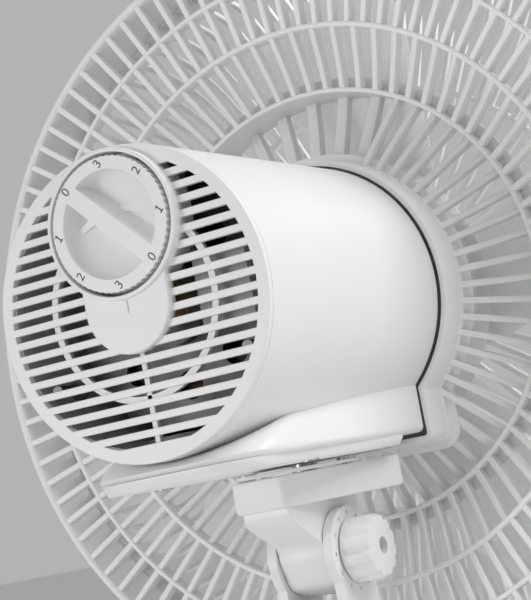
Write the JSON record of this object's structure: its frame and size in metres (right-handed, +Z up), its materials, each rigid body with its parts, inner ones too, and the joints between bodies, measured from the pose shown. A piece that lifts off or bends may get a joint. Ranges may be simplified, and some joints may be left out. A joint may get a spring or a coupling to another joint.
{
  "type": "oscillating desk fan",
  "caption": "White oscillating desk fan seen best from behind: louvred motor housing with a numbered speed dial, ribbed guards, tilting neck and round base.",
  "frame": {"origin": "centre of the bounding box on the plane of the feet", "axes": "+Z up, the air blows towards +Y, the speed dial faces -Y"},
  "size_m": [0.311, 0.22, 0.4455],
  "materials": {
    "white_plastic": "satin",
    "base_plastic": "satin",
    "blade_plastic": "satin",
    "inner_plastic": "matte",
    "zinc_steel": "satin",
    "motor_steel": "matte",
    "die_cast": "satin",
    "copper_wire": "satin",
    "sinter_bronze": "satin",
    "ballast_iron": "matte",
    "foot_rubber": "matte"
  },
  "bodies": {
    "stand": {"base_cover": "base_plastic", "base_bottom": "base_plastic", "base_weight": "ballast_iron", "base_feet": "foot_rubber", "base_screws": "zinc_steel", "cord_grommet": "foot_rubber", "column": "base_plastic", "tilt_bolt": "zinc_steel"},
    "tilt_clamp": {"tilt_knob": "base_plastic"},
    "osc_switch": {"osc_rocker": "base_plastic"},
    "neck_arm": {"neck": "white_plastic", "swing_pin": "zinc_steel", "swing_clip": "zinc_steel", "link_anchor": "zinc_steel"},
    "head": {"housing": "white_plastic", "rear_vent": "white_plastic", "vent_screws": "zinc_steel", "motor_base": "white_plastic", "motor_base_screws": "zinc_steel", "rear_shield": "die_cast", "front_shield": "die_cast", "shield_screws": "zinc_steel", "stator_core": "motor_steel", "stator_coils": "copper_wire", "rear_bushing": "sinter_bronze", "front_bushing": "sinter_bronze", "speed_switch": "inner_plastic", "switch_nut": "zinc_steel", "capacitor": "inner_plastic", "osc_motor": "inner_plastic", "rear_guard": "white_plastic", "guard_nut": "white_plastic", "front_guard": "white_plastic", "front_badge": "white_plastic", "guard_clips": "white_plastic"},
    "rotor": {"shaft": "zinc_steel", "rotor_core": "motor_steel", "blade": "blade_plastic", "blade_pin": "zinc_steel", "spinner": "blade_plastic"},
    "speed_dial": {"dial": "white_plastic", "dial_spindle": "inner_plastic"},
    "crank_disc": {"crank": "inner_plastic"},
    "swing_link": {"link": "white_plastic"}
  },
  "joints": [
    {"name": "tilt", "type": "hinge", "parent": "stand", "child": "neck_arm", "pos_m": [0, -0.01, 0.195], "axis": [1, 0, 0], "range_deg": [-10, 20]},
    {"name": "tilt_clamp_turn", "type": "hinge", "parent": "stand", "child": "tilt_clamp", "pos_m": [0.018, -0.01, 0.195], "axis": [1, 0, 0], "range_deg": [-90, 90]},
    {"name": "osc_rocker_tip", "type": "hinge", "parent": "stand", "child": "osc_switch", "pos_m": [0, 0.07, 0.034], "axis": [1, 0, 0], "range_deg": [-6, 6]},
    {"name": "swing", "type": "hinge", "parent": "neck_arm", "child": "head", "pos_m": [0, -0.01, 0.23], "axis": [0, 0, 1], "range_deg": [-40, 40]},
    {"name": "link_swivel", "type": "hinge", "parent": "neck_arm", "child": "swing_link", "pos_m": [0.018, -0.01, 0.2274], "axis": [0, 0, 1], "range_deg": [-38, 38]},
    {"name": "crank_turn", "type": "hinge", "parent": "head", "child": "crank_disc", "pos_m": [0, -0.07, 0.2295], "axis": [0, 0, 1], "range_deg": [-93, 93]},
    {"name": "spin", "type": "hinge", "parent": "head", "child": "rotor", "pos_m": [0, -0.006, 0.29], "axis": [0, 1, 0], "continuous": true},
    {"name": "dial_turn", "type": "hinge", "parent": "head", "child": "speed_dial", "pos_m": [0, -0.106, 0.3167], "axis": [0, 1, 0], "continuous": true}
  ],
  "couplings": [
    {"joint": "link_swivel", "follows": "swing", "ratio": 0.94},
    {"joint": "crank_turn", "follows": "swing", "ratio": -2.3}
  ]
}
